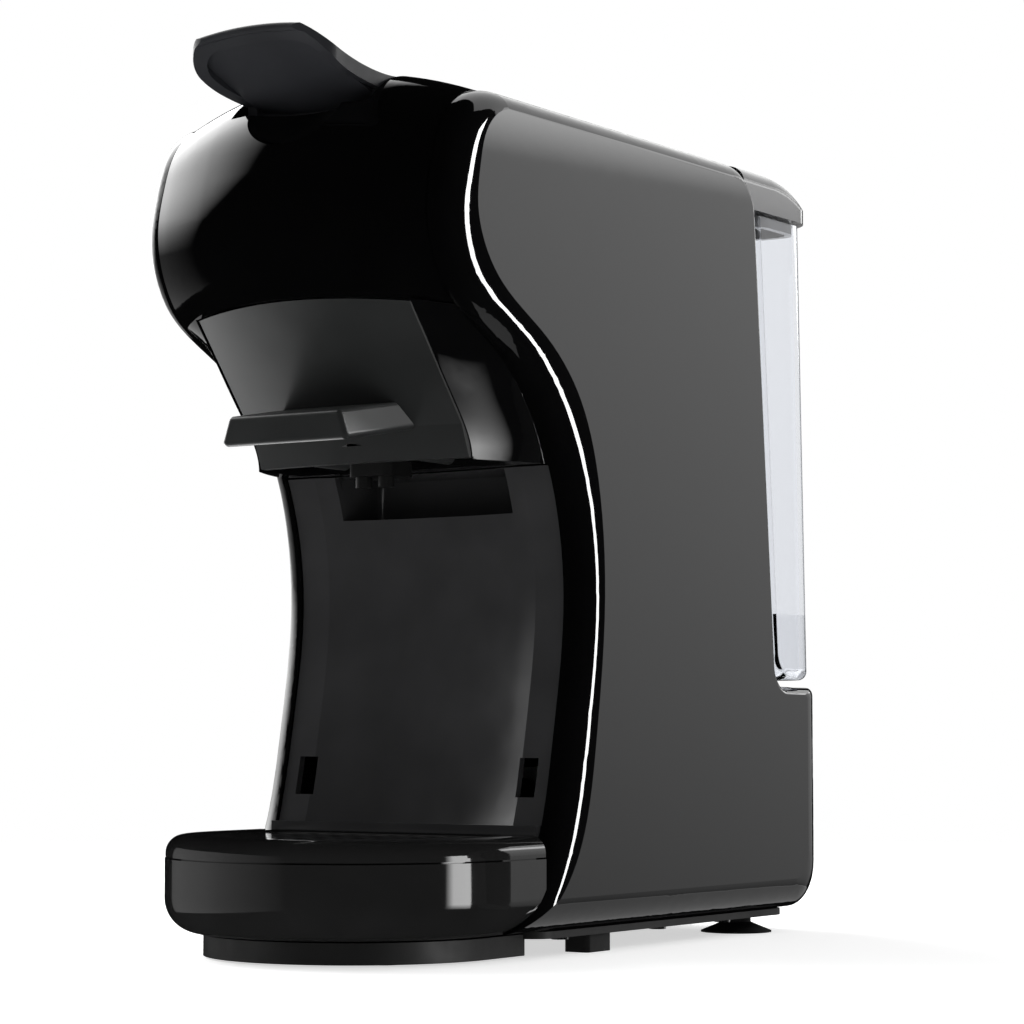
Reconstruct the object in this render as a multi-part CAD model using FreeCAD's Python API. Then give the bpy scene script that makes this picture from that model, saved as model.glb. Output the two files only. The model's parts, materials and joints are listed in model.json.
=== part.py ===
import FreeCAD, Part
import math
import os

# Pod coffee machine, millimetres. The front faces -Y, +X is the machine's left hand when it looks at you,
# Z is up and z = 0 is the table.

os.makedirs("parts", exist_ok=True)
V = FreeCAD.Vector
ORIGIN = V(0, 0, 0)
ALONG_X = V(1, 0, 0)
ALONG_Y = V(0, 1, 0)
UP = V(0, 0, 1)

# ---------------------------------------------------------------- driving dimensions
half_width = 60.0            # outer face of a side shell
seam_x = 51.0                # where the rounded border of a side shell meets the middle parts
middle_x = 50.7              # half width of everything between the shells
shell_top = 259.0
shell_bottom = 8.0
shell_rear = 124.5
skin = 2.6                   # wall of the moulded covers
crown = 8.0                  # how far the head bulges beyond the shells at mid width
top_crown = 10.2             # the same for the deck and the lid

ledge_top = 83.5             # shelf the tank stands over
nose_top = 195.0             # lower edge of the head, top of the capsule holder
nose_bottom = 150.0
holder_half = 40.0           # half width of the capsule holder front
crease_z = 160.4             # bend low on the holder front

brew_y = -50.0               # axis of capsule, basket and piston
piston_low = 192.5           # face of the piston with the lever shut
lever_half = 25.6
pin_y = -14.0                # lever pivot
pin_z = 248.0
crank_radius = 10.9          # crank pin to lever pivot
crank_start = math.radians(40)

tray_radius = 57.5
tray_y = -67.0               # centre of the round tray front
tray_bottom = 7.6
tray_seam = 30.0
tray_top = 37.0
grate_radius = 46.0
grate_back = -51.0            # straight rear edge of the grate

tank_bottom = 85.6
tank_top = 243.2
tank_half = 58.4
valve_x = 30.0
valve_y = 110.6

button_y = 30.0
button_spacing = 21.0
button_radius = 7.0

# The front edge of a side shell: the seam line, and the line where the flat side begins.
seam_points = [(-74, 259), (-87.2, 254.4), (-94.3, 247), (-98.7, 236), (-101.5, 222), (-94, 200),
               (-66, 182.5), (-45, 163.5), (-32, 136), (-28.3, 108), (-34, 68), (-43, 34), (-62, 8)]
flat_points = [(-72, 253), (-79.8, 249.2), (-84.2, 243.4), (-86.6, 235), (-88, 222), (-79.5, 204.5),
               (-53, 188), (-32.5, 170), (-20.8, 139.5), (-18.5, 108), (-23.5, 66), (-33, 32), (-44, 18)]


# ---------------------------------------------------------------- small helpers
def box(x0, x1, y0, y1, z0, z1):
    return Part.makeBox(x1 - x0, y1 - y0, z1 - z0, V(x0, y0, z0))


def rod(x, y, z, radius, length, direction=UP):
    return Part.makeCylinder(radius, length, V(x, y, z), direction)


def tube(x, y, z, outer, inner, length, direction=UP):
    return rod(x, y, z, outer, length, direction).cut(rod(x, y, z, inner, length, direction))


def fuse_all(shapes):
    whole = shapes[0]
    for shape in shapes[1:]:
        whole = whole.fuse(shape)
    return whole.removeSplitter()


def mirrored(shape):
    return shape.mirror(ORIGIN, ALONG_X)


def pair(shape):
    return Part.makeCompound([shape, mirrored(shape)])


def side_prism(points, x0, x1):
    """Polygon in the side view (y, z), pushed through from x0 to x1."""
    corners = [V(x0, y, z) for y, z in points]
    return Part.Face(Part.makePolygon(corners + corners[:1])).extrude(V(x1 - x0, 0, 0))


def round_upright_edges(shape, radius, wanted=None):
    edges = []
    for edge in shape.Edges:
        start, end = edge.Vertexes[0].Point, edge.Vertexes[-1].Point
        upright = abs(start.x - end.x) < 0.01 and abs(start.y - end.y) < 0.01
        if upright and (wanted is None or wanted(start)):
            edges.append(edge)
    return shape.makeFillet(radius, edges)


def hose(points, outer, inner, bend):
    """Flexible tube along straight runs joined by round bends."""
    points = [V(*point) for point in points]
    edges = []
    here = points[0]
    for before, corner, after in zip(points, points[1:], points[2:]):
        arriving = (corner - before).normalize()
        leaving = (after - corner).normalize()
        half_turn = arriving.getAngle(leaving) / 2
        trim = bend * math.tan(half_turn)
        start, end = corner - arriving * trim, corner + leaving * trim
        inward = (leaving - arriving).normalize()
        middle = corner + inward * bend * (1 / math.cos(half_turn) - 1)
        edges.append(Part.makeLine(here, start))
        edges.append(Part.Arc(start, middle, end).toShape())
        here = end
    edges.append(Part.makeLine(here, points[-1]))
    path = Part.Wire(edges)
    heading = (points[1] - points[0]).normalize()
    rims = [Part.Wire(Part.Circle(points[0], heading, radius).toShape()) for radius in (outer, inner)]
    solid, bore = [path.makePipeShell([rim], True, False) for rim in rims]
    return solid.cut(bore)


def save(shape, name):
    shape.exportStep("parts/" + name + ".step")


# ---------------------------------------------------------------- side shells
def between(seam, flat, fraction):
    return tuple(a + (b - a) * fraction for a, b in zip(seam, flat))


def shell_outline(fraction, x):
    """Outline of a side shell: fraction 0 is the seam outline, fraction 1 the edge of the flat side."""
    def at(seam, flat):
        y, z = between(seam, flat, fraction)
        return V(x, y, z)

    front = Part.BSplineCurve()
    front.interpolate([at(seam, flat) for seam, flat in zip(seam_points, flat_points)])
    toe = at(seam_points[-1], flat_points[-1])
    brow = at(seam_points[0], flat_points[0])
    heel_low = at((111.5, shell_bottom), (104, 18))
    heel_mid = at((120.7, 11.8), (110.4, 20.6))
    heel_high = at((shell_rear, 21), (113, 27))
    shelf_low = at((shell_rear, 81), (113, 78.5))
    shelf_mid = at((123.8, 82.8), (112.4, 79.9))
    shelf_high = at((122, ledge_top), (111, 80.5))
    cove_low = at((100.5, ledge_top), (98.5, 80.5))
    cove_mid = at((94.6, 86.2), (91.9, 83.6))
    cove_high = at((92, 92), (89, 91))
    notch_top = at((80.3, 244), (77.0, 243))
    corner_mid = at((75.9, 254.4), (73.2, 249.8))
    corner_top = at((65, shell_top), (64, 253))
    return Part.Wire([
        front.toShape(),
        Part.makeLine(toe, heel_low),
        Part.Arc(heel_low, heel_mid, heel_high).toShape(),
        Part.makeLine(heel_high, shelf_low),
        Part.Arc(shelf_low, shelf_mid, shelf_high).toShape(),
        Part.makeLine(shelf_high, cove_low),
        Part.Arc(cove_low, cove_mid, cove_high).toShape(),
        Part.makeLine(cove_high, notch_top),
        Part.Arc(notch_top, corner_mid, corner_top).toShape(),
        Part.makeLine(corner_top, brow),
    ])


def shell_block():
    rings = []
    for step in range(5):
        turn = math.radians(22.5 * step)
        rings.append(shell_outline(1 - math.cos(turn), seam_x + (half_width - seam_x) * math.sin(turn)))
    return Part.makeLoft(rings, True, False)


right_block = shell_block()
hollow_ends = [shell_outline(0.5, seam_x - 0.1), shell_outline(1.1, half_width - skin)]
hollow = Part.makeLoft(hollow_ends, True, True)
right_shell = right_block.cut(hollow)
save(right_shell, "right_side_shell")
save(mirrored(right_shell), "left_side_shell")


# ---------------------------------------------------------------- barrel of the head and top deck
seam_curve = Part.BSplineCurve()
seam_curve.interpolate([V(0, y, z) for y, z in seam_points])


def seam_y(height):
    """y of the shell seam at a height below the chin of the head."""
    low, high = seam_curve.parameter(V(0, -94, 200)), seam_curve.LastParameter
    for _ in range(40):
        middle = (low + high) / 2
        if seam_curve.value(middle).z > height:
            low = middle
        else:
            high = middle
    return seam_curve.value(low).y


def swell(x):
    return top_crown * (1 - (x / seam_x) ** 2)


def barrel(inward, reach, rear):
    """Head and deck as one block, with its outside moved inward and its sides at +-reach."""
    centre_y, centre_z = -45.0, 215.0
    sections = []
    for step in (-1, -0.5, 0, 0.5, 1):
        x = step * reach
        bulge = 1 - (x / seam_x) ** 2
        points = []
        for y, z in [(-80, 189.5)] + seam_points[5::-1]:
            span = math.hypot(y - centre_y, z - centre_z)
            forward, up = (y - centre_y) / span, (z - centre_z) / span
            rise = 1.45 * crown if up > 0 else crown
            points.append(V(x, y + (crown * bulge - inward) * forward, z + (rise * bulge - inward) * up))
        curve = Part.BSplineCurve()
        curve.interpolate(points)
        top_rear = V(x, rear, shell_top + swell(x) - inward)
        corners = [points[-1], top_rear, V(x, rear, 186), V(x, points[0].y, 186), points[0]]
        lines = [Part.makeLine(a, b) for a, b in zip(corners, corners[1:])]
        sections.append(Part.Wire([curve.toShape()] + lines))
    return Part.makeLoft(sections, True, False)


deck_front = -58.0
deck_rear = 71.4
barrel_skin = barrel(0, middle_x, deck_rear).cut(barrel(skin, middle_x + 3, deck_rear + 5))
slot_half = lever_half + 0.6
slot_floor = 255.5
well_radius = 22.6
lever_well = rod(-slot_half, pin_y, pin_z, well_radius, 2 * slot_half, ALONG_X)
lever_slot = box(-slot_half, slot_half, -125, pin_y, slot_floor, 280).fuse(lever_well)
lever_slot = lever_slot.fuse(box(-slot_half, slot_half, pin_y, pin_y + well_radius, 250, 280))

chin_radius = 380.0
chin = rod(0, -130, nose_top + 2.4 - chin_radius, chin_radius, 100, ALONG_Y)
head_block = barrel(0, middle_x, deck_rear)
grip_block = head_block.common(box(-34, 34, -112, -62, 236, slot_floor))
grip_hollow = box(-31.4, 31.4, -84, -50, 230, 252.8)
scoop = Part.makeSphere(20.6, ORIGIN)
squeeze = FreeCAD.Matrix()
squeeze.scale(1, 0.72, 1)
scoop = scoop.transformGeometry(squeeze)
scoop.translate(V(0, -103, 264))
head = barrel_skin.common(box(-60, 60, -120, deck_front, 150, 280))
head = head.fuse(grip_block.cut(grip_hollow)).cut(scoop).cut(lever_slot).cut(chin)
head = head.removeSplitter()
save(head, "front_head_shell")

deck = barrel_skin.common(box(-60, 60, deck_front + 0.2, deck_rear, 250, 280)).cut(lever_slot)
for step in (-1, 0, 1):
    deck = deck.cut(rod(step * button_spacing, button_y, 240, button_radius + 0.35, 40))
save(deck, "top_deck")


# ---------------------------------------------------------------- nose around the capsule holder
def holder_y(height):
    """y of the capsule holder front at x = +-holder_half."""
    if height > crease_z:
        return -67.4 - 27.6 * (height - crease_z) / (nose_top - crease_z)
    return -67.4 + 0.4 * (crease_z - height)


def nose_section(z):
    """Plan section of the nose, with a slightly rounded cheek on each side of the holder."""
    inner, outer = V(holder_half + 1, holder_y(z), z), V(middle_x, seam_y(z), z)
    along = outer - inner
    middle = (inner + outer) / 2 + V(along.y, -along.x, 0) * 0.035
    right = [inner, middle, outer, V(middle_x, -26, z)]
    left = [V(-point.x, point.y, z) for point in right]
    return Part.Wire([
        Part.makeLine(left[0], right[0]),
        Part.Arc(right[0], right[1], right[2]).toShape(),
        Part.makeLine(right[2], right[3]),
        Part.makeLine(right[3], left[3]),
        Part.makeLine(left[3], left[2]),
        Part.Arc(left[2], left[1], left[0]).toShape(),
    ])


nose_levels = (nose_top + 1.6, 188, 180, 170, crease_z, nose_bottom)
nose = Part.makeLoft([nose_section(z) for z in nose_levels], True, False)
channel = box(-holder_half - 0.5, holder_half + 0.5, -130, -20, 149, 200)
chin_gap = rod(0, -130, nose_top + 2.0 - chin_radius, chin_radius, 120, ALONG_Y)
nose = nose.cut(channel).common(chin_gap)
floor = box(-holder_half - 0.6, holder_half + 0.6, -42, -29.5, nose_bottom, 152.2)
runner = box(36, holder_half + 0.6, -78, -26, 181.6, 184.2)
nose = fuse_all([nose, floor, runner, mirrored(runner)])
save(nose, "nose_frame")


# ---------------------------------------------------------------- cup bay panel
def bay_section(z, moved, depth):
    """Plan section of the bay wall: flat borders and a slightly hollow middle."""
    y = seam_y(z) + moved
    border = 40.0
    dish = 5.0
    front = [V(-middle_x, y, z), V(-border, y, z), V(0, y + dish, z), V(border, y, z), V(middle_x, y, z)]
    back = [point + V(0, depth, 0) for point in front]
    return Part.Wire([
        Part.makeLine(front[0], front[1]),
        Part.Arc(front[1], front[2], front[3]).toShape(),
        Part.makeLine(front[3], front[4]),
        Part.makeLine(front[4], back[4]),
        Part.makeLine(back[4], back[3]),
        Part.Arc(back[3], back[2], back[1]).toShape(),
        Part.makeLine(back[1], back[0]),
        Part.makeLine(back[0], front[0]),
    ])


bay_levels = (38.4, 50, 70, 90, 112, 134, nose_bottom - 0.3)
bay = Part.makeLoft([bay_section(z, 1.0, skin) for z in bay_levels], True, False)
niche_half = 33.0
niche = round_upright_edges(box(-niche_half, niche_half, -60, -8, 136, 149.6), 3)
niche_shell = box(-niche_half - 2, niche_half + 2, -30, -6, 134, 149.7)
bay_front_void = Part.makeLoft([bay_section(z, -60, 61.5) for z in bay_levels], True, False)
bay = bay.fuse(niche_shell.cut(bay_front_void)).cut(niche)
bay = bay.fuse(box(-middle_x, middle_x, -43.6, -39.4, 9, 39.6))
for side in (-1, 1):
    bay = bay.cut(box(side * 42.5 - 3.5, side * 42.5 + 3.5, -60, -20, 48, 60))
save(bay.removeSplitter(), "cup_bay_panel")


# ---------------------------------------------------------------- rear cover: tank wall, shelf and back
def rear_strip(wall):
    """Inside of the seam outline from the top rear corner round to the heel, moved in by wall."""
    back, shelf = shell_rear - wall, ledge_top - wall
    return side_prism([(40, 250), (40, 0), (110.6, 0), (110.6, shell_bottom + wall), (120.7 - wall, 11.8 + wall),
                       (back, 21), (back, shelf), (99 - wall, shelf), (92 - wall, 92), (80.3 - wall, 244),
                       (75.9 - wall, 254.4 - wall), (65.2, shell_top - wall)], -middle_x, middle_x)


core_face = Part.Face(shell_outline(0, -middle_x))
core = core_face.extrude(V(2 * middle_x, 0, 0))
rear_cover = core.cut(rear_strip(skin)).common(box(-60, 60, deck_rear + 0.4, 130, 0, 262))
socket_hole = rod(valve_x, valve_y, 70, 9.4, 20)
gland_hole = rod(-32, 100, 34, 5.2, 40, ALONG_Y)
back_screws = [(side * 44, height) for side in (-1, 1) for height in (28, 73)]
vents = [box(-24 + 8 * step, -20 + 8 * step, 110, 130, 48, 68) for step in range(8)]
rear_cover = rear_cover.cut(socket_hole).cut(gland_hole)
for vent in vents:
    rear_cover = rear_cover.cut(vent)
for x, z in back_screws:
    rear_cover = rear_cover.cut(rod(x, shell_rear - 1.4, z, 3.2, 5, ALONG_Y))
    rear_cover = rear_cover.cut(rod(x, 115, z, 1.3, 12, ALONG_Y))
save(rear_cover.removeSplitter(), "rear_cover")


# ---------------------------------------------------------------- base, feet
platform_radius = 47.0
platform_y = -65.0
platform = rod(0, platform_y, 0.6, platform_radius, 6.4)
platform = platform.fuse(box(-platform_radius, platform_radius, platform_y, -44, 0.6, 7.0))
platform = platform.cut(rod(0, platform_y, 0.6, platform_radius - 3, 4.0))
base = box(-53.5, 53.5, -45, 110, 5.6, 7.8)
base = round_upright_edges(base, 8)
rail = box(-48, -45.6, -36, 104, 7.8, 12).fuse(box(45.6, 48, -36, 104, 7.8, 12))
base = fuse_all([base, platform, rail])
base_screws = [(side * 46.8, y) for side in (-1, 1) for y in (-24, 34, 76)]
for x, y in base_screws:
    base = base.cut(rod(x, y, 5, 1.3, 8))
save(base, "base_plate")

foot_pad = rod(26, platform_y - 22, 0, 6, 4.6)
save(pair(foot_pad), "front_foot_pads")
mid_foot = round_upright_edges(box(43.5, 52.5, -17, -3, 0, 5.6), 1.5)
save(pair(mid_foot), "mid_feet")
cup_profile = [V(0, 0, 5.6), V(5, 0, 5.6), V(5, 0, 3.4), V(12, 0, 0.5), V(12, 0, 0), V(11, 0, 0),
               V(3, 0, 2.2), V(0, 0, 2.2)]
cup = Part.Face(Part.makePolygon(cup_profile + cup_profile[:1])).revolve(ORIGIN, UP, 360)
cup.translate(V(42, 94, 0))
save(pair(cup), "rear_suction_cups")


# ---------------------------------------------------------------- drip tray, cover ring, grate
def tray_plan(inset, z, rear=-46.5):
    radius = tray_radius - inset
    back = rear - inset
    left, right = V(-radius, tray_y, z), V(radius, tray_y, z)
    return Part.Wire([
        Part.Arc(left, V(0, tray_y - radius, z), right).toShape(),
        Part.makeLine(right, V(radius, back, z)),
        Part.makeLine(V(radius, back, z), V(-radius, back, z)),
        Part.makeLine(V(-radius, back, z), left),
    ])


def tray_slab(inset, z0, z1):
    return Part.Face(tray_plan(inset, z0)).extrude(V(0, 0, z1 - z0))


def clear_of_shells(shape):
    """Cut away what would touch the side shells, with a gap of 0.8."""
    for block in (right_block, mirrored(right_block)):
        for move in (V(0, -0.8, 0), V(0, 3, 0)):
            moved = block.copy()
            moved.translate(move)
            shape = shape.cut(moved)
    return shape


def low_round_edges(shape, z):
    flat = [edge for edge in shape.Edges if all(abs(v.Z - z) < 0.01 for v in edge.Vertexes)]
    return [edge for edge in flat if edge.BoundBox.YMin < -48]


tray = tray_slab(0, tray_bottom, tray_seam)
tray = tray.makeFillet(10.5, low_round_edges(tray, tray_bottom))
tray_void = tray_slab(2.4, tray_bottom + 2.4, tray_seam + 1)
tray_void = tray_void.makeFillet(8, low_round_edges(tray_void, tray_bottom + 2.4))
waist = box(-50.2, 50.2, -130, -40, 0, 60).fuse(box(-60, 60, -130, -48, 0, 60))
tray = clear_of_shells(tray.cut(tray_void)).common(waist)
save(tray.removeSplitter(), "drip_tray")

ring = tray_slab(0.2, tray_seam + 0.5, tray_top)
top_edges = low_round_edges(ring, tray_top)
ring = ring.makeFillet(5.5, top_edges)
behind_grate = box(-60, 60, grate_back + 0.4, 0, 0, 60)
grate_hole = rod(0, tray_y, 20, grate_radius + 0.4, 30).cut(behind_grate)
ring_under = tray_slab(3.4, tray_seam, tray_top - 2.4)
lip = tray_slab(2.8, tray_seam - 2.4, tray_seam + 1.5).cut(tray_slab(4.6, tray_seam - 3, tray_seam + 2))
seat = rod(0, tray_y, tray_top - 4.2, grate_radius + 2, 1.6).common(box(-60, 60, -130, -47.5, 0, 60))
seat = seat.cut(rod(0, tray_y, 20, grate_radius - 2, 30).common(box(-60, 60, -130, grate_back - 2, 0, 60)))
ring = ring.cut(ring_under).cut(grate_hole).fuse(lip)
ring = ring.fuse(seat)
ring = clear_of_shells(ring).common(waist)
save(ring.removeSplitter(), "tray_cover")

grate = rod(0, tray_y, tray_top - 2.4, grate_radius, 1.8).common(box(-60, 60, -130, grate_back, 0, 60))
for row in range(-4, 2):
    reach = math.sqrt(40 ** 2 - (9 * row) ** 2)
    count = int(reach // 7.5)
    for column in range(-count, count + 1):
        x = column * 7.5
        grate = grate.cut(box(x - 2.4, x + 2.4, tray_y + 9 * row - 2.6, tray_y + 9 * row + 2.6, 30, 40))
save(grate, "drip_grate")


# ---------------------------------------------------------------- lever with crank
lever_top = [(-121.4, 276.4), (-114.6, 272.7), (-107.9, 270.5), (-96, 268.2), (-86, 267.6), (-72, 269),
             (pin_y, 269.6)]
lever_under = [(-88, 262.8), (-99.4, 264.2), (-109.7, 266.8), (-116.5, 270.4), (-120.9, 273.9)]
belly_line = [(-120, 274.2), (-112, 268.9), (-104, 265), (-96, 261), (-89, 257.9), (-80, 255)]
lever_widths = (-30, -15, 0, 15, 30)


def drop(x):
    """How much lower the lever lies at one width than at its middle."""
    return top_crown * (x / seam_x) ** 2


def smooth(points):
    curve = Part.BSplineCurve()
    curve.interpolate(points)
    return curve.toShape()


def top_edge(x):
    return smooth([V(x, y, z - drop(x)) for y, z in lever_top])


def plate_section(x):
    """Side profile of the thin plate, which thins towards the raised tip."""
    tip_high, tip_low = V(x, *lever_top[0]), V(x, *lever_under[-1])
    lowered = V(0, 0, -drop(x))
    rear_high, rear_low = V(x, pin_y, lever_top[-1][1]), V(x, pin_y, 262.8)
    return Part.Wire(Part.sortEdges([
        top_edge(x),
        Part.Arc(tip_high + lowered, V(x, -122.3, 275) + lowered, tip_low + lowered).toShape(),
        smooth([V(x, y, z) + lowered for y, z in lever_under]),
        Part.makeLine(V(x, *lever_under[0]) + lowered, rear_low + lowered),
        Part.makeLine(rear_low + lowered, rear_high + lowered),
    ])[0])


def below(edge, low):
    """Section between an edge and a level line under it."""
    start, end = edge.Vertexes[0].Point, edge.Vertexes[-1].Point
    start_low, end_low = V(start.x, start.y, low), V(end.x, end.y, low)
    return Part.Wire([edge, Part.makeLine(end, end_low), Part.makeLine(end_low, start_low),
                      Part.makeLine(start_low, start)])


def belly_edge(x):
    """Underside between the rims: hollow at the tip and full at the root."""
    points = []
    for y, z in belly_line:
        bend = -0.004 + 0.00023 * (y + 120)
        points.append(V(x, y, z + bend * x * x))
    return smooth(points)


def tongue(half, tip, corner, rear):
    """Upright block with a rounded front end, seen from above."""
    diagonal = corner * (1 - math.sqrt(0.5))
    edges = [Part.makeLine(V(-half + corner, tip, 0), V(half - corner, tip, 0))]
    for side in (1, -1):
        start = V(side * (half - corner), tip, 0)
        middle = V(side * (half - diagonal), tip + diagonal, 0)
        end = V(side * half, tip + corner, 0)
        edges.append(Part.Arc(start, middle, end).toShape())
        edges.append(Part.makeLine(end, V(side * half, rear, 0)))
    edges.append(Part.makeLine(V(half, rear, 0), V(-half, rear, 0)))
    return Part.Face(Part.Wire(Part.sortEdges(edges)[0])).extrude(V(0, 0, 300))


plate = Part.makeLoft([plate_section(x) for x in lever_widths], True, False)
under_top = Part.makeLoft([below(top_edge(x), 240) for x in lever_widths], True, False)
under_belly = Part.makeLoft([below(belly_edge(x), 230) for x in lever_widths], True, False)
root = under_top.common(box(-30, 30, -89, pin_y, slot_floor + 0.5, 280))
panel = tongue(22, -118.3, 8, -86)
lever = plate.fuse(root).cut(panel.common(under_belly))
under_top.translate(V(0, 0, -1.4))
lever = lever.fuse(panel.common(under_top).cut(under_belly))
lever = lever.cut(box(-22.4, 22.4, -85.5, 20, 240, 263.4))
rear_round = tube(-30, pin_y, pin_z, well_radius - 1, well_radius - 5, 60, ALONG_X)
rear_round = rear_round.common(box(-30, 30, pin_y, 10, 252, 275))
lever = lever.fuse(rear_round).common(tongue(lever_half, -122.6, 11, 10))
lever = lever.common(barrel(-0.4, 52, deck_rear).fuse(box(-60, 60, -130, -84, 240, 280)))
arm = side_prism([(-52, 257), (-24, 236.5), (-8, 240), (-4, 246), (-6, 257), (-14, 264), (-52, 264)],
                 20.6, 25.4)
arm = arm.cut(rod(19, pin_y, pin_z, 4.05, 10, ALONG_X))
crank_y = pin_y - crank_radius * math.cos(crank_start)
crank_z = pin_z - crank_radius * math.sin(crank_start)
arm = arm.cut(rod(19, crank_y, crank_z, 2.5, 10, ALONG_X))
lever = fuse_all([lever, arm, mirrored(arm)])
save(lever, "lever")
save(rod(-25.4, crank_y, crank_z, 2.5, 50.8, ALONG_X), "crank_pin")
save(rod(-33.5, pin_y, pin_z, 4.0, 67, ALONG_X), "lever_pin")


# ---------------------------------------------------------------- brew frame, piston, needles
frame_side = side_prism([(-74, 190), (-10, 190), (-4, 240), (-4, 256), (-24, 256), (-30, 236), (-74, 222)],
                        30.5, 33.5)
frame_side = frame_side.cut(rod(28, pin_y, pin_z, 4.0, 10, ALONG_X))
guide = tube(0, brew_y, 192.5, 23.5, 19.8, 19.5)
bridge = box(-33.5, 33.5, brew_y - 10, brew_y + 10, 205, 212)
bridge = bridge.cut(rod(0, brew_y, 200, 21, 30))
frame_rails = box(30.5, 40, -74, -19, 187.8, 190)
brew_port = rod(33, brew_y, 209, 2.2, 5, ALONG_X)
frame = fuse_all([frame_side, mirrored(frame_side), guide, bridge, brew_port,
                  frame_rails, mirrored(frame_rails)])
save(frame, "brew_frame")

piston = rod(0, brew_y, piston_low, 19.5, 14).cut(rod(0, brew_y, piston_low + 5, 16.5, 14))
piston = piston.fuse(rod(0, brew_y, piston_low, 7, 18))
piston = piston.cut(tube(0, brew_y, piston_low + 8, 20, 18.55, 2))
yoke = side_prism([(-60, 203), (-40, 203), (-18, 231), (-18, 247), (-29.5, 247), (-29.5, 236), (-60, 212)],
                  6, 10)
slot_length = 2.4
slot_round = 3.05
slot_front, slot_back = crank_y - 1.3 - slot_length, crank_y - 1.3 + slot_length
yoke_slot = fuse_all([rod(5, slot_front, crank_z, slot_round, 6, ALONG_X),
                      rod(5, slot_back, crank_z, slot_round, 6, ALONG_X),
                      box(5, 11, slot_front, slot_back, crank_z - slot_round, crank_z + slot_round)])
yoke = yoke.cut(yoke_slot)
rungs = [box(-10, 10, -60, -40, 203, 207), box(-10, 10, -46, -41, 207, 212)]
piston = fuse_all([piston, yoke, mirrored(yoke)] + rungs)
save(piston, "piston")
save(tube(0, brew_y, piston_low + 8.1, 19.72, 18.6, 1.8), "piston_seal")


# ---------------------------------------------------------------- capsule holder, basket, spout
def holder_section(z, depth):
    y = holder_y(z)
    half = holder_half - 0.1
    bulge = 3.5 + 2.5 * (z - nose_bottom) / (nose_top - nose_bottom)
    return Part.Wire([
        Part.Arc(V(-half, y, z), V(0, y - bulge, z), V(half, y, z)).toShape(),
        Part.makeLine(V(half, y, z), V(half, y + depth, z)),
        Part.Arc(V(half, y + depth, z), V(0, y + depth - bulge, z), V(-half, y + depth, z)).toShape(),
        Part.makeLine(V(-half, y + depth, z), V(-half, y, z)),
    ])


def holder_loft(depth):
    upper = Part.makeLoft([holder_section(z, depth) for z in (crease_z, 178, nose_top + 1.6)], True, True)
    lower = Part.makeLoft([holder_section(z, depth) for z in (nose_bottom + 0.6, crease_z)], True, True)
    return upper.fuse(lower)


holder_top = rod(0, -130, nose_top + 1.5 - chin_radius, chin_radius, 120, ALONG_Y)
face_plate = holder_loft(3.0)
inside = holder_loft(55)


def ledge_rim(y, low, high, half_low, half_high):
    corners = [V(-half_high, y, high), V(half_high, y, high), V(half_low, y, low), V(-half_low, y, low)]
    return Part.makePolygon(corners + corners[:1])


ledge_rims = [ledge_rim(-103.5, 153.6, 162.8, 24, 21), ledge_rim(-66, 160, 169, 25, 22)]
ledge = Part.makeLoft(ledge_rims, True, True)
outer_edges = [edge for edge in ledge.Edges if edge.BoundBox.YMin < -103]
ledge = ledge.makeFillet(1.6, outer_edges)
ledge = ledge.cut(box(-19, 19, -99, -60, 150, 158))
ledge = ledge.cut(holder_loft(55).cut(face_plate))

carrier = box(-27, 27, -72, -28, 164, 187.4)
bracket = box(-27, 27, -95, -70, 178, 187.4)
wing = box(27, 38, -80, -28, 184.6, 187.4)
leg = box(20, 25, -62, -45, 154, 165)
holder_floor = box(-38, 38, -66, -44, 152.8, 155)
glide = rod(20, -62, 153.2, 2.6, 16, ALONG_Y)
holder = fuse_all([carrier, bracket, wing, mirrored(wing), leg, mirrored(leg), holder_floor,
                   glide, mirrored(glide)]).common(inside)
holder = fuse_all([holder, face_plate, ledge]).common(holder_top)
holder = holder.cut(rod(0, brew_y, 155.5, 19.6, 40)).cut(rod(0, brew_y, 150, 12.5, 10))
holder = holder.cut(box(-9, 9, -62, -45, 148, 156))
save(holder.removeSplitter(), "capsule_holder")

basket_outline = [V(0, 0, 160), V(14, 0, 160), V(19.2, 0, 172), V(19.2, 0, 187.5), V(22, 0, 187.5),
                  V(22, 0, 188.5), V(17.8, 0, 188.5), V(17.8, 0, 172.4), V(13, 0, 161.4), V(0, 0, 161.4)]
basket = Part.Face(Part.makePolygon(basket_outline + basket_outline[:1])).revolve(ORIGIN, UP, 360)
for step in range(6):
    turn = math.radians(60 * step)
    basket = basket.cut(rod(7 * math.cos(turn), 7 * math.sin(turn), 158, 1.2, 6))
basket = basket.cut(rod(0, 0, 158, 1.2, 6))
basket.translate(V(0, brew_y, 0))
save(basket, "capsule_basket")

funnel = Part.makeCone(6, 12, 8.8, V(0, brew_y, 151), UP)
funnel = funnel.cut(Part.makeCone(4.6, 10.8, 8.0, V(0, brew_y, 152.2), UP)).cut(rod(0, brew_y, 150, 2.2, 5))
channel_block = round_upright_edges(box(-8, 8, -61, -47, 147, 151.6), 2.5)
channel_block = channel_block.cut(box(-6, 6, -59, -48, 148.4, 150.4)).cut(rod(0, brew_y, 149, 2.2, 5))
spout = fuse_all([funnel, channel_block, rod(-4.3, -57, 143.6, 2.6, 3.6), rod(4.3, -57, 143.6, 2.6, 3.6)])
spout = spout.cut(rod(-4.3, -57, 143, 1.5, 6)).cut(rod(4.3, -57, 143, 1.5, 6))
save(spout.removeSplitter(), "spout")

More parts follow.
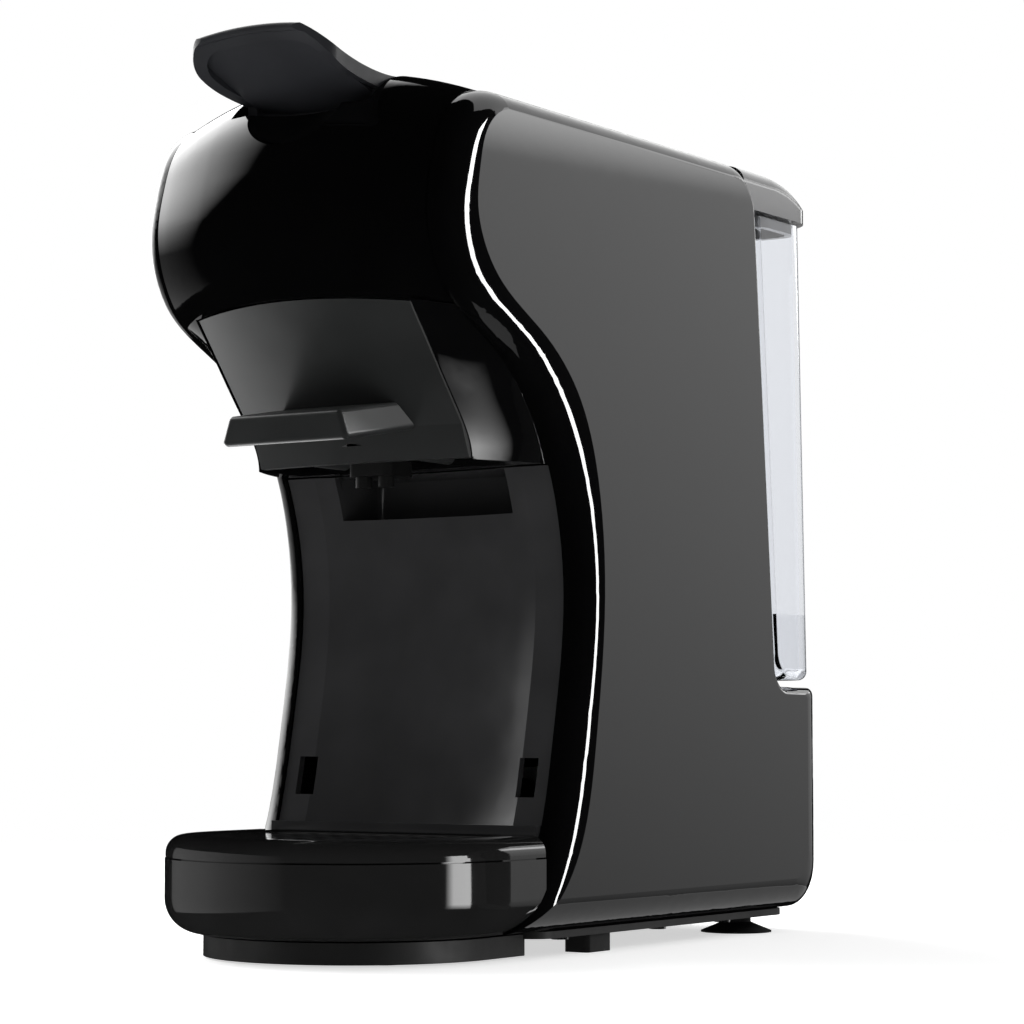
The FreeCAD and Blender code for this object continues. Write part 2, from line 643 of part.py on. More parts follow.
plate = tube(0, brew_y, piston_low - 0.5, 15.5, 3, 0.45)
needles = []
for turn in (math.pi / 2, math.pi * 7 / 6, math.pi * 11 / 6):
    foot = V(9 * math.cos(turn), brew_y + 9 * math.sin(turn), piston_low - 3.4)
    needles.append(Part.makeCone(0.4, 1.1, 3.0, foot, UP))
save(fuse_all([plate] + needles), "piercing_plate")


# ---------------------------------------------------------------- tank, outlet, lid
def tank_block(inset, floor, top):
    """Tank body: raked front and back, round rear corners, large radius at the foot of the front."""
    rake_front = (81.5 - 93.3) / (tank_top - tank_bottom)
    rake_rear = (119.6 - 124.2) / (tank_top - tank_bottom)
    foot = 9.0 - inset

    def front(z):
        return 93.3 + inset + rake_front * (z - tank_bottom)

    def rear(z):
        return 124.2 - inset + rake_rear * (z - tank_bottom)

    half = tank_half - inset
    corner_top = V(-half, front(floor + foot), floor + foot)
    corner_mid = V(-half, front(floor) + 0.3 * foot, floor + 0.28 * foot)
    corner_low = V(-half, front(floor) + foot, floor)
    rear_low, rear_high = V(-half, rear(floor), floor), V(-half, rear(top), top)
    front_high = V(-half, front(top), top)
    outline = Part.Wire([
        Part.Arc(corner_top, corner_mid, corner_low).toShape(),
        Part.makeLine(corner_low, rear_low),
        Part.makeLine(rear_low, rear_high),
        Part.makeLine(rear_high, front_high),
        Part.makeLine(front_high, corner_top),
    ])
    block = Part.Face(outline).extrude(V(2 * half, 0, 0))
    rear_edges = [e for e in block.Edges if e.BoundBox.ZLength > 20 and e.BoundBox.YMin > 110]
    block = block.makeFillet(12 - inset, rear_edges)
    side_edges = [e for e in block.Edges if e.BoundBox.XLength < 0.1 and e.BoundBox.YMax < 116
                  and e.BoundBox.ZMin < top - 1]
    return block.makeFillet(3.0 - 0.4 * inset, side_edges)


sump_top = 108.0
tank = tank_block(0, tank_bottom, tank_top)
floor_z = tank_bottom + 2.2
upper_room = tank_block(2.0, floor_z, tank_top + 0.01).common(box(-60, 60, 60, 130, sump_top, 250))
lower_room = tank_block(3.4, floor_z, tank_top + 0.01).common(box(-60, 60, 60, 130, 80, sump_top + 1))
tank = tank.cut(upper_room).cut(lower_room)
tank = tank.cut(rod(valve_x, valve_y, 80, 5.65, 10))
tank_foot = box(34, 46, 102, 114, ledge_top + 0.1, tank_bottom + 0.6)
far_foot = box(-46, -34, 102, 114, ledge_top + 0.1, tank_bottom + 0.6)
tank_foot = tank_foot.cut(rod(valve_x, valve_y, 80, 10.5, 10))
tank = fuse_all([tank, tank_foot, far_foot])
save(tank, "water_tank")

outlet = fuse_all([rod(valve_x, valve_y, 79, 5.6, floor_z - 79 + 0.5),
                   rod(valve_x, valve_y, floor_z, 7.6, 14),
                   rod(valve_x, valve_y, floor_z + 13, 2, 6),
                   rod(valve_x, valve_y, floor_z + 17, 8.6, 1.6)])
outlet = outlet.cut(rod(valve_x, valve_y, floor_z + 1.6, 5.8, 10.8)).cut(rod(valve_x, valve_y, 78, 3.0, 14))
for step in range(8):
    window = box(4.8, 9, -1.2, 1.2, floor_z + 3, floor_z + 10)
    window.rotate(ORIGIN, UP, 45 * step)
    window.translate(V(valve_x, valve_y, 0))
    outlet = outlet.cut(window)
save(outlet, "tank_outlet")

valve_seat = floor_z + 1.65
valve = rod(valve_x, valve_y, 77.6, 2.6, valve_seat - 77.6 + 0.5)
valve = valve.fuse(rod(valve_x, valve_y, valve_seat, 4.6, 1.6))
save(valve.removeSplitter(), "tank_valve")


def coil_spring(x, y, z, length, radius, wire, turns):
    path = Part.makeHelix((length - 2 * wire) / turns, length - 2 * wire, radius)
    start = Part.Wire(Part.Circle(V(radius, 0, 0), ALONG_Y, wire).toShape())
    coil = Part.Wire(path).makePipeShell([start], True, True)
    coil.translate(V(x, y, z + wire))
    return coil


save(coil_spring(valve_x, valve_y, valve_seat + 1.65, 9.0, 3.6, 0.35, 6), "valve_spring")

socket = fuse_all([tube(valve_x, valve_y, 70, 9.2, 6.7, 13.4), rod(valve_x, valve_y, 70, 9.2, 2),
                   tube(valve_x, valve_y, 78.8, 11.0, 6.7, 1.9), rod(valve_x, valve_y, 62, 3, 9),
                   rod(valve_x, valve_y, 71, 1.3, 6.3)])
save(socket, "tank_socket")
seal = Part.makeTorus(6.15, 0.5, V(valve_x, valve_y, 81.4), UP)
save(seal, "socket_seal")

lid_low = 244.4


def lid_section(x, fraction, out):
    def at(seam, flat, lift=0.0):
        y, z = between(seam, flat, fraction)
        return V(x, y, z + lift * out)

    toe = at((81.4, lid_low), (78.4, lid_low))
    face = at((77.2, 254.6), (74.6, 250.0))
    face_top = at((72.4, shell_top), (71.2, 252.6))
    top_front = at((72.4, shell_top + 0.3), (71.2, 253), 1.0)
    top_rear = at((94, shell_top), (93, 253), 1.0)
    fall = [top_rear, at((106, 257.0), (104, 251.4), 0.85), at((115.5, 252.2), (112, 248.4), 0.45),
            at((121.8, lid_low), (117.5, lid_low))]
    back = Part.BSplineCurve()
    back.interpolate(fall)
    return Part.Wire([
        Part.Arc(toe, face, face_top).toShape(),
        Part.makeLine(face_top, top_front),
        Part.makeLine(top_front, top_rear),
        back.toShape(),
        Part.makeLine(fall[-1], toe),
    ])


lid_half = 59.4
right_rings = []
for step in range(5):
    turn = math.radians(22.5 * step)
    right_rings.append((seam_x + (lid_half - seam_x) * math.sin(turn), 1 - math.cos(turn)))
left_rings = [(-x, fraction) for x, fraction in reversed(right_rings)]
stations = left_rings + [(-30, 0), (0, 0), (30, 0)] + right_rings
lid = Part.makeLoft([lid_section(x, fraction, max(swell(x), 0)) for x, fraction in stations], True, False)
lid_plan = box(-lid_half - 0.1, lid_half + 0.1, 60, 121.9, 230, 280)
lid_plan = round_upright_edges(lid_plan, 12, lambda point: point.y > 100)
plug = round_upright_edges(box(-55.6, 55.6, 86, 115.6, 240.4, 247), 7)
lid = lid.common(lid_plan).fuse(plug)
cavity = round_upright_edges(box(-53, 53, 88, 113, 239, 250), 5)
high_cavity = round_upright_edges(box(-48, 48, 88, 106, 239, 255.5), 4)
lid = lid.cut(cavity).cut(high_cavity)
save(lid.removeSplitter(), "tank_lid")


# ---------------------------------------------------------------- buttons and their board
button_names = ("button_small", "button_power", "button_large")
travel = 1.4
guide_z = 250.0
board_z = 243.0
buttons = [(step * button_spacing, name) for step, name in zip((-1, 0, 1), button_names)]
button_board = box(-34, 34, button_y - 11, button_y + 11, board_z, board_z + 1.6)
button_guide = box(-34, 34, button_y - 11, button_y + 11, guide_z, guide_z + 2)
springs = []
for x, name in buttons:
    top = shell_top + swell(x) + 0.8
    cap = rod(x, button_y, top - 4, button_radius, 4)
    rim = [edge for edge in cap.Edges if edge.BoundBox.ZMin > top - 0.01]
    cap = cap.makeFillet(0.9, rim)
    stem_low = board_z + 1.6 + 3.6 + travel + 0.3
    button = cap.fuse(rod(x, button_y, stem_low, 2.3, top - 3 - stem_low)).removeSplitter()
    save(button, name)
    spring_low = guide_z + 2.05
    save(coil_spring(x, button_y, spring_low, top - 4.05 - spring_low, 3.6, 0.35, 5), name + "_spring")
    button_guide = button_guide.cut(rod(x, button_y, guide_z - 1, 2.7, 5))
    switch = box(x - 3, x + 3, button_y - 3, button_y + 3, board_z + 1.6, board_z + 5.2)
    button_board = button_board.fuse(switch)
for x in (-31, 31):
    for y in (button_y - 8, button_y + 8):
        button_board = button_board.cut(rod(x, y, board_z - 1, 1.85, 5))
        deck_under = shell_top + swell(x) - skin - 1.2
        button_guide = button_guide.fuse(rod(x, y, board_z, 1.8, deck_under - board_z))
save(button_board.removeSplitter(), "button_board")
save(button_guide.removeSplitter(), "button_guide")


# ---------------------------------------------------------------- chassis, boiler, pump, water line, board
chassis_z = 183.0
chassis = box(-50.4, 50.4, -18, 81, chassis_z, chassis_z + 2.4).cut(box(-30, 30, 20, 54, 180, 190))
chassis = chassis.cut(rod(-38, 22, 180, 7, 10)).cut(rod(-38, 60, 180, 7, 10))
pad = box(28, 36, -17.6, -10.5, chassis_z + 2.4, 190)
hanger = box(47.8, 50.4, -18, 81, chassis_z - 12, chassis_z)
save(fuse_all([chassis, pad, mirrored(pad), hanger, mirrored(hanger)]), "chassis")

boiler = round_upright_edges(box(-24, 24, 12, 62, 188, 222), 6)
for step in range(5):
    boiler = boiler.cut(box(-30, 30, 18 + 9 * step, 22 + 9 * step, 216, 230))
boiler_feet = [box(side * 27 - 5, side * 27 + 5, y - 4, y + 4, 185.5, 190)
               for side in (-1, 1) for y in (18, 56)]
ports = [rod(-30, 30, 201, 2.2, 7, ALONG_X), rod(23, 30, 201, 2.2, 7, ALONG_X)]
save(fuse_all([boiler] + boiler_feet + ports), "boiler_block")
thermostat = rod(24.05, 46, 205, 6, 7, ALONG_X).fuse(box(24.05, 25, 36, 56, 202.5, 207.5))
save(thermostat.removeSplitter(), "thermostat")

pump_z = 38.0
pump = rod(0, 12, pump_z, 11, 69, ALONG_Y)
coil = box(-17, 17, 29, 60, pump_z - 18, pump_z + 18)
coil_edges = [edge for edge in coil.Edges if edge.BoundBox.YLength > 20]
pump = fuse_all([pump, coil.makeFillet(3, coil_edges), rod(0, 6, pump_z, 2.2, 7, ALONG_Y),
                 rod(0, 80, pump_z, 2.2, 5, ALONG_Y)])
save(pump, "pump")
mount_rings = [tube(0, y, pump_z, 15, 11.05, 8, ALONG_Y) for y in (15, 67)]
save(Part.makeCompound(mount_rings), "pump_mounts")
cradle = box(-19, 34, 15.5, 106, 7.9, 9.9).fuse(rod(valve_x, valve_y - 6, 7.9, 4, 38))
for y in (15.5, 67.5):
    post = box(-19, 19, y, y + 7, 7.9, pump_z).cut(rod(0, y - 1, pump_z, 15.05, 9, ALONG_Y))
    cradle = cradle.fuse(post)
save(cradle.removeSplitter(), "pump_cradle")
meter = rod(valve_x, valve_y, 46, 10.5, 11).fuse(rod(valve_x, valve_y, 57, 3, 4.5))
meter = meter.fuse(rod(13, valve_y, 51.5, 2.2, 8, ALONG_X)).removeSplitter()
save(meter, "flow_meter")

inlet = tube(valve_x, valve_y, 57.3, 4.6, 3.05, 12)
suction = hose([(18, valve_y, 51.5), (3, valve_y, 51.5), (0, 102, pump_z), (0, 81.5, pump_z)], 3.4, 2.25, 5)
pressure = hose([(0, 11, pump_z), (0, -6, pump_z), (-37, -6, 110), (-38, 22, 175), (-37, 30, 201),
                 (-25, 30, 201)], 3.4, 2.25, 6)
delivery = hose([(25, 30, 201), (43, 30, 201), (43.5, -25, 209), (43.5, brew_y, 209), (34.2, brew_y, 209)],
                3.0, 2.25, 4.8)
save(inlet, "inlet_hose")
save(suction, "suction_hose")
save(pressure, "pressure_hose")
save(delivery, "delivery_hose")

board_x = -46.4
control = box(board_x, board_x + 1.6, 0, 70, 92, 172)
board_face = board_x + 1.6
parts_on_board = [box(board_face, board_x + 13, 8, 26, 100, 118),
                  box(board_face, board_x + 9, 34, 58, 100, 116),
                  rod(board_face, 20, 140, 5, 14, ALONG_X),
                  rod(board_face, 50, 145, 4, 10, ALONG_X),
                  box(board_face, board_x + 5, 28, 44, 156, 166)]
holes = [(6, 98), (64, 98), (6, 166), (64, 166)]
control = fuse_all([control] + parts_on_board)
for y, z in holes:
    control = control.cut(rod(board_x - 1, y, z, 1.9, 4, ALONG_X))
save(control, "control_board")
standoffs = [rod(-57.3, y, z, 3.2, 57.25 + board_x, ALONG_X).fuse(rod(board_x - 0.1, y, z, 1.8, 3, ALONG_X))
             for y, z in holes]
save(Part.makeCompound([standoff.removeSplitter() for standoff in standoffs]), "board_standoffs")

gland = tube(-32, 119, 34, 5.1, 3.2, 5.3, ALONG_Y).fuse(tube(-32, 119, 34, 7.5, 3.2, 2.6, ALONG_Y))
save(gland.removeSplitter(), "cord_gland")


# ---------------------------------------------------------------- screws, identical ones together
def screw(x, y, z, head, shaft, length, direction):
    top = Part.makeCylinder(head, 1.2, V(x, y, z), direction)
    body = Part.makeCylinder(shaft, length, V(x, y, z), direction)
    cross = Part.makeCylinder(0.9, 0.6, V(x, y, z), direction)
    return top.fuse(body).removeSplitter().cut(cross)


save(Part.makeCompound([screw(x, y, 4.4, 2.8, 1.25, 7.0, UP) for x, y in base_screws]), "base_screws")
back = [screw(x, shell_rear - 0.1, z, 3.0, 1.25, 9, V(0, -1, 0)) for x, z in back_screws]
save(Part.makeCompound(back), "rear_screws")
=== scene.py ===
import json
import math

import bmesh
import bpy
from mathutils import Matrix, Vector


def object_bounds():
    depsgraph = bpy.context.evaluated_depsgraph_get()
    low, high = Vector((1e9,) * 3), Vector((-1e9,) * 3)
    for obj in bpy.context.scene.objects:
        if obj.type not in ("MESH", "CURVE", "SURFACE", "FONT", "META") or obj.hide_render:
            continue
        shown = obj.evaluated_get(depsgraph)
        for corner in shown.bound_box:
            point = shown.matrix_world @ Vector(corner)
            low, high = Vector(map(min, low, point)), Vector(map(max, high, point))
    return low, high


# A narrow gloss black capsule coffee machine, in metres. Every shape and place comes from the CAD frame; this
# script adds the finishes, the studio light and the camera. -Y is the front, +Z is up.

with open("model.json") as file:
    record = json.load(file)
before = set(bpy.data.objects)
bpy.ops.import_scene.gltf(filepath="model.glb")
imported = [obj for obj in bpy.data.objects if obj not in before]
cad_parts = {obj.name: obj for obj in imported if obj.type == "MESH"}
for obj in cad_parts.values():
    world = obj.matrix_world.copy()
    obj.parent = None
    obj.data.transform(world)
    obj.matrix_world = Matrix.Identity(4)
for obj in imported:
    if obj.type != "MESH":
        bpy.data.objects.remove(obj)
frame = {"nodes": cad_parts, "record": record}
cad_low, cad_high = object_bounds()
nodes = frame["nodes"]
height = cad_high.z - cad_low.z


# ---------------------------------------------------------------- materials
# Grain sizes are one over their width in metres, and depths are in metres.
blotch_scale = 45
gloss_scale = 90
ripple_scale, ripple_depth = 240, 0.0000012
brush_scale, brush_depth = 5200, 0.000006
haze_scale = 60
wave_scale, wave_depth = 120, 0.000002
tank_wall_colour = (0.60, 0.62, 0.66)


def new_material(name):
    material = bpy.data.materials.new(name)
    material.use_nodes = True
    tree = material.node_tree
    shader = tree.nodes["Principled BSDF"]
    place = tree.nodes.new("ShaderNodeTexCoord").outputs["Object"]
    return material, tree, shader, place


def noise(tree, place, scale, detail=2.0):
    """Noise whose grains are about 1 / scale metres across."""
    texture = tree.nodes.new("ShaderNodeTexNoise")
    texture.inputs["Scale"].default_value = scale
    texture.inputs["Detail"].default_value = detail
    tree.links.new(place, texture.inputs["Vector"])
    return texture.outputs["Fac"]


def spread(tree, value, low, high, from_low=0.3, from_high=0.7):
    """Stretch a noise value to run between low and high."""
    ramp = tree.nodes.new("ShaderNodeMapRange")
    ramp.inputs["From Min"].default_value = from_low
    ramp.inputs["From Max"].default_value = from_high
    ramp.inputs["To Min"].default_value = low
    ramp.inputs["To Max"].default_value = high
    tree.links.new(value, ramp.inputs["Value"])
    return ramp.outputs["Result"]


def tint(tree, value, dark, light):
    """Colour between dark and light."""
    ramp = tree.nodes.new("ShaderNodeValToRGB")
    ramp.color_ramp.elements[0].position = 0.3
    ramp.color_ramp.elements[1].position = 0.7
    ramp.color_ramp.elements[0].color = (*dark, 1)
    ramp.color_ramp.elements[1].color = (*light, 1)
    tree.links.new(value, ramp.inputs["Fac"])
    return ramp.outputs["Color"]


def bumps(tree, shader, layers):
    """Stack bump layers, each a (height value, depth in metres) pair."""
    normal = None
    for value, depth in layers:
        bump = tree.nodes.new("ShaderNodeBump")
        bump.inputs["Strength"].default_value = 1.0
        bump.inputs["Distance"].default_value = depth
        tree.links.new(value, bump.inputs["Height"])
        if normal is not None:
            tree.links.new(normal, bump.inputs["Normal"])
        normal = bump.outputs["Normal"]
    tree.links.new(normal, shader.inputs["Normal"])


def shades(colour, share):
    """The colour a little darker and a little lighter."""
    return [c * (1 - share) for c in colour], [min(1.0, c * (1 + share)) for c in colour]


def moulded(name, colour, rough, grain=2600, depth=0.0, blotch=0.12, ior=1.5, metallic=0.0, wander=0.15):
    """Moulded or cast surface: fine grain, faint colour variation and uneven gloss."""
    material, tree, shader, place = new_material(name)
    dark, light = shades(colour, blotch)
    tree.links.new(tint(tree, noise(tree, place, blotch_scale), dark, light), shader.inputs["Base Color"])
    shine = spread(tree, noise(tree, place, gloss_scale, 4), rough * (1 - wander), rough * (1 + wander))
    tree.links.new(shine, shader.inputs["Roughness"])
    shader.inputs["IOR"].default_value = ior
    shader.inputs["Metallic"].default_value = metallic
    layers = [(noise(tree, place, ripple_scale, 1), ripple_depth)]
    if depth:
        layers.append((noise(tree, place, grain, 3), depth))
    bumps(tree, shader, layers)
    return material


def brushed(name, colour, rough, stretch=(1, 1, 0.02)):
    """Drawn or turned metal with fine lines along one direction."""
    material, tree, shader, place = new_material(name)
    squeeze = tree.nodes.new("ShaderNodeMapping")
    squeeze.inputs["Scale"].default_value = stretch
    tree.links.new(place, squeeze.inputs["Vector"])
    lines = noise(tree, squeeze.outputs["Vector"], brush_scale, 3)
    dark, light = shades(colour, 0.15)
    tree.links.new(tint(tree, lines, dark, light), shader.inputs["Base Color"])
    tree.links.new(spread(tree, lines, rough * 0.7, rough * 1.3), shader.inputs["Roughness"])
    shader.inputs["Metallic"].default_value = 1.0
    bumps(tree, shader, [(lines, brush_depth)])
    return material


def clear(name, colour, rough, ior, weight=1.0, absorb=0.0):
    """Clear plastic or soft clear hose, very slightly uneven. absorb darkens the thicker views through it."""
    material, tree, shader, place = new_material(name)
    shader.inputs["Base Color"].default_value = (*colour, 1)
    shader.inputs["IOR"].default_value = ior
    shader.inputs["Transmission Weight"].default_value = weight
    shine = spread(tree, noise(tree, place, haze_scale, 2), rough * 0.5, rough * 1.5)
    tree.links.new(shine, shader.inputs["Roughness"])
    bumps(tree, shader, [(noise(tree, place, wave_scale, 1), wave_depth)])
    if absorb:
        body = tree.nodes.new("ShaderNodeVolumeAbsorption")
        body.inputs["Color"].default_value = (*tank_wall_colour, 1)
        body.inputs["Density"].default_value = absorb
        tree.links.new(body.outputs["Volume"], tree.nodes["Material Output"].inputs["Volume"])
    return material


finishes = {
    "gloss_black": moulded("gloss_black", (0.0012, 0.0012, 0.0013), 0.04),
    "panel_grey": moulded("panel_grey", (0.031, 0.031, 0.032), 0.16),
    "satin_black": moulded("satin_black", (0.026, 0.027, 0.031), 0.40, 2400, 0.000012),
    "satin_grey": moulded("satin_grey", (0.020, 0.021, 0.021), 0.30, 3800, 0.000006, wander=0.04),
    "lid_grey": moulded("lid_grey", (0.06, 0.06, 0.062), 0.16),
    "tray_black": moulded("tray_black", (0.010, 0.010, 0.010), 0.06),
    "matte_black": moulded("matte_black", (0.008, 0.008, 0.008), 0.55, 1800, 0.00002),
    "rubber_black": moulded("rubber_black", (0.01, 0.01, 0.01), 0.7, 1500, 0.00002),
    "rubber_clear": clear("rubber_clear", (0.86, 0.86, 0.82), 0.25, 1.41, 0.7),
    "clear_tank": clear("clear_tank", (0.97, 0.98, 1.0), 0.02, 1.45, absorb=110.0),
    "white_plastic": moulded("white_plastic", (0.72, 0.72, 0.70), 0.4, 1800, 0.00001),
    "grey_plastic": moulded("grey_plastic", (0.18, 0.18, 0.19), 0.45, 1800, 0.00001),
    "button_black": moulded("button_black", (0.02, 0.02, 0.02), 0.12),
    "steel": brushed("steel", (0.55, 0.55, 0.55), 0.28),
    "aluminium": moulded("aluminium", (0.62, 0.62, 0.64), 0.42, 900, 0.00004, metallic=1.0),
    "board_green": moulded("board_green", (0.01, 0.09, 0.03), 0.35, 700, 0.00001),
}

slot_of = {part["node"]: part["material_slot"] for part in frame["record"]["subparts"]}
own_finish = {"drip_tray": "tray_black", "tray_cover": "tray_black", "drip_grate": "tray_black"}
for name, node in nodes.items():
    node.data.materials.clear()
    node.data.materials.append(finishes[own_finish.get(name, slot_of[name])])


# ---------------------------------------------------------------- studio
def toward(azimuth, elevation=0.0):
    """Unit vector out from the object: azimuth 0 is the front (-Y), 90 is the +X side."""
    a, e = math.radians(azimuth), math.radians(elevation)
    return Vector((math.sin(a) * math.cos(e), -math.cos(a) * math.cos(e), math.sin(e)))


camera_azimuth = 33.77
camera_pitch = 4.07
camera_place = (0.5549, -0.8104, 0.0695)
camera_lens = 106.2
gaze = -toward(camera_azimuth, -camera_pitch)
aim = Vector((0, 0, height * 0.5))
reach = 1.6                     # from the lamps to the aim
energy_per_radiance = 4         # for one square metre of lamp


def faded(tree, place, axis, start, end, low):
    """low to 1 across a lamp, along one axis of its own face, between two fractions of it."""
    parts = tree.nodes.new("ShaderNodeSeparateXYZ")
    tree.links.new(place, parts.inputs[0])
    ramp = tree.nodes.new("ShaderNodeMapRange")
    ramp.inputs["From Min"].default_value = start
    ramp.inputs["From Max"].default_value = end
    ramp.inputs["To Min"].default_value = low
    tree.links.new(parts.outputs[axis], ramp.inputs["Value"])
    return ramp.outputs["Result"]


def softbox(name, azimuth, elevation, wide, tall, radiance, fades=(), roll=0.0):
    """Lamp facing the object, wide by tall degrees seen from it, turned by roll degrees in its own plane.

    Each fade is (axis, start, end, low) on its face, where X runs towards larger azimuths and Y runs up."""
    light = bpy.data.lights.new(name, "AREA")
    light.shape = "RECTANGLE"
    light.size = 2 * reach * math.tan(math.radians(wide / 2))
    light.size_y = 2 * reach * math.tan(math.radians(tall / 2))
    light.energy = energy_per_radiance * light.size * light.size_y * radiance
    if fades:
        light.use_nodes = True
        tree = light.node_tree
        place = tree.nodes.new("ShaderNodeNewGeometry").outputs["Parametric"]
        strength = None
        for fade in fades:
            part = faded(tree, place, *fade)
            if strength is None:
                strength = part
            else:
                product = tree.nodes.new("ShaderNodeMath")
                product.operation = "MULTIPLY"
                tree.links.new(strength, product.inputs[0])
                tree.links.new(part, product.inputs[1])
                strength = product.outputs[0]
        tree.links.new(strength, tree.nodes["Emission"].inputs["Strength"])
    lamp = bpy.data.objects.new(name, light)
    outward = toward(azimuth, elevation)
    lamp.location = aim + outward * reach
    facing = outward.to_track_quat("Z", "Y").to_matrix() @ Matrix.Rotation(math.radians(roll), 3, "Z")
    lamp.rotation_euler = facing.to_euler()
    lamp.visible_camera = False
    lamp.visible_transmission = False
    bpy.context.scene.collection.objects.link(lamp)
    return lamp


def bent_strip(name, lean, half_width, low, high, radiance, steps=24):
    """Strip light bent so that the rounded front edge of the right shell mirrors it to the camera.

    lean is how far the edge's surface has turned from the side towards the front where the line shows,
    and low to high is how far the outline there faces down or up, all in degrees. The top end is pointed."""
    point_length = 1 / 14
    point_width = 0.02
    strip = bmesh.new()
    rows = []
    for step in range(steps + 1):
        share = step / steps
        tilt = math.radians(low + (high - low) * share)
        taper = min(1.0, (1 - share) / point_length + point_width)
        row = []
        for side in (-1, 1):
            turn = math.radians(lean + side * half_width * taper)
            front, up = math.sin(turn) * math.cos(tilt), math.sin(turn) * math.sin(tilt)
            normal = Vector((math.cos(turn), -front, up))
            mirrored = gaze - 2 * gaze.dot(normal) * normal
            row.append(strip.verts.new(aim + mirrored * reach))
        rows.append(row)
    for (a, b), (c, d) in zip(rows, rows[1:]):
        strip.faces.new((a, b, d, c))
    mesh = bpy.data.meshes.new(name)
    strip.to_mesh(mesh)
    lamp = bpy.data.objects.new(name, mesh)
    bpy.context.scene.collection.objects.link(lamp)
    material, tree, shader, place = new_material(name)
    shader.inputs["Base Color"].default_value = (0, 0, 0, 1)
    shader.inputs["Emission Color"].default_value = (1, 1, 1, 1)
    shader.inputs["Emission Strength"].default_value = radiance
    mesh.materials.append(material)
    lamp.visible_camera = False
    lamp.visible_transmission = False
    lamp.visible_shadow = False
    return lamp


def only_on(lamp, *names, state="INCLUDE"):
    """The lamp lights only these CAD nodes, or with EXCLUDE everything but them."""
    lit = bpy.data.collections.new(lamp.name + "_receivers")
    for name in names:
        lit.objects.link(nodes[name])
    for listed in lit.collection_objects:
        listed.light_linking.link_state = state
    lamp.light_linking.receiver_collection = lit
    return lamp


shells = ("right_side_shell", "left_side_shell")
tray = ("drip_tray", "tray_cover", "base_plate")

# The bright S-shaped line in the shell's rounded front edge.
only_on(bent_strip("edge_strip", 18.1, 2.5, -78, 55, 26), *shells)

# The flat side: an even grey that dims downwards, a bright top, and greys in the rounded edges.
softbox("side_card", 157.9, 4, 35, 42, 1.33, [("Y", 0.0, 1.0, 0.1)])
softbox("side_glow", 157.9, 15.2, 37, 7, 2.7, [("Y", 0.0, 0.22, 0)], roll=-12.5)
only_on(softbox("under_card", 158, -46, 50, 60, 0.4), *shells)
only_on(softbox("over_card", 173, 50, 70, 56, 1.2), "tank_lid", *shells)
only_on(softbox("backdrop", camera_azimuth - 180, 3, 40, 14, 1.0), "tank_lid", *shells)

# The soft glow at the left of the head and in the cup bay, with a dimmer one for the lever.
left_fades = [("X", 0.915, 0.505, 0), ("Y", 1.0, 0.5, 0), ("Y", 0.29, 0.48, 0.08)]
left_box = softbox("left_box", -89.5, 22, 73, 92, 5.8, left_fades)
only_on(left_box, *tray, "lever", "right_side_shell", state="EXCLUDE")
only_on(softbox("lever_left", -102, 22, 90, 92, 2.6, [("X", 1.0, 0.15, 0)]), "lever")

# The drip tray: one bright upright band at the right and a faint glow at the left.
only_on(softbox("tray_strip", 98.5, -6, 18, 24, 7.3, [("Y", 0.0, 0.3, 0), ("X", 0.0, 0.3, 0)]), *tray)
only_on(softbox("tray_left", -55, -5, 100, 40, 0.5, [("X", 1.0, 0.45, 0), ("X", 0.0, 0.5, 0.3)]), *tray)

# The nose's right cheek, and the capsule holder with its ledge. The shell would shade the ledge's own lamp.
only_on(softbox("low_right", 70, -16, 68, 36, 5.4, [("X", 1.0, 0.74, 0), ("Y", 0.0, 0.65, 0)]), "nose_frame")
only_on(softbox("low_left", -104, -28, 50, 50, 2.8, [("X", 1.0, 0.6, 0)]), "capsule_holder")
ledge_light = only_on(softbox("ledge_light", 140, 30, 44, 44, 4.0), "capsule_holder")
ledge_light.data.use_shadow = False


# ---------------------------------------------------------------- surroundings
world = bpy.data.worlds.new("studio")
bpy.context.scene.world = world
world.use_nodes = True
sky = world.node_tree
ray = sky.nodes.new("ShaderNodeLightPath")


def backdrop_light(name, strength):
    light = sky.nodes.new("ShaderNodeBackground")
    light.name = name
    light.inputs["Color"].default_value = (1, 1, 1, 1)
    light.inputs["Strength"].default_value = strength
    return light.outputs[0]


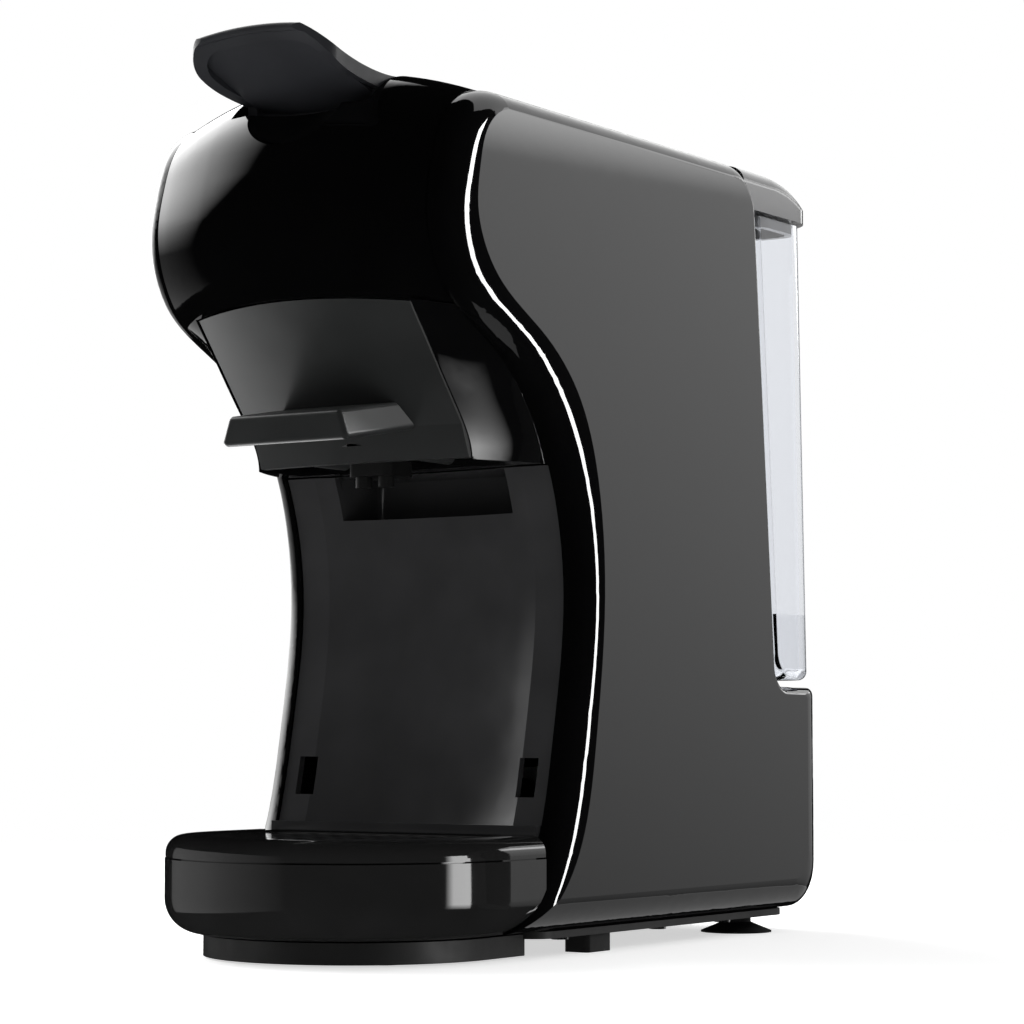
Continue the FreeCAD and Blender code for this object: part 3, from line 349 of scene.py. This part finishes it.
def chosen(share, first, second):
    mix = sky.nodes.new("ShaderNodeMixShader")
    sky.links.new(share, mix.inputs["Fac"])
    sky.links.new(first, mix.inputs[1])
    sky.links.new(second, mix.inputs[2])
    return mix.outputs[0]


# White to look at, soft and even on dull surfaces, and dark in the gloss.
ambient, gloss = backdrop_light("ambient", 0.45), backdrop_light("gloss", 0.004)
dull_or_gloss = chosen(ray.outputs["Is Glossy Ray"], ambient, gloss)
through_glass = chosen(ray.outputs["Is Transmission Ray"], dull_or_gloss, backdrop_light("beyond", 1.0))
whole_sky = chosen(ray.outputs["Is Camera Ray"], through_glass, backdrop_light("seen", 1.0))
sky.links.new(whole_sky, sky.nodes["World Output"].inputs["Surface"])

# The floor fades out into the white behind it, between two distances from the middle, in metres.
floor_half_width = 12
fade_start, fade_end = 0.35, 0.9
floor_mesh = bpy.data.meshes.new("floor")
floor_bm = bmesh.new()
bmesh.ops.create_grid(floor_bm, x_segments=1, y_segments=1, size=floor_half_width)
floor_bm.to_mesh(floor_mesh)
floor = bpy.data.objects.new("floor", floor_mesh)
bpy.context.scene.collection.objects.link(floor)
floor_finish, floor_tree, floor_shader, floor_place = new_material("pale_floor")
floor_shader.inputs["Base Color"].default_value = (0.92, 0.92, 0.92, 1)
floor_shader.inputs["Roughness"].default_value = 0.9
floor_shader.inputs["Emission Color"].default_value = (1, 1, 1, 1)
floor_shader.inputs["Emission Strength"].default_value = 0.6
away = floor_tree.nodes.new("ShaderNodeVectorMath")
away.operation = "LENGTH"
floor_tree.links.new(floor_place, away.inputs[0])
cover = spread(floor_tree, away.outputs["Value"], 1, 0, fade_start, fade_end)
floor_tree.links.new(cover, floor_shader.inputs["Alpha"])
floor_mesh.materials.append(floor_finish)
floor.visible_glossy = False
floor.visible_shadow = False

camera_data = bpy.data.cameras.new("camera")
camera_data.lens = camera_lens
camera_data.sensor_width = 36.0
camera = bpy.data.objects.new("camera", camera_data)
bpy.context.scene.collection.objects.link(camera)
camera.location = camera_place
camera.rotation_euler = (-gaze).to_track_quat("Z", "Y").to_euler()
bpy.context.scene.camera = camera
bpy.context.scene.view_settings.view_transform = "Standard"
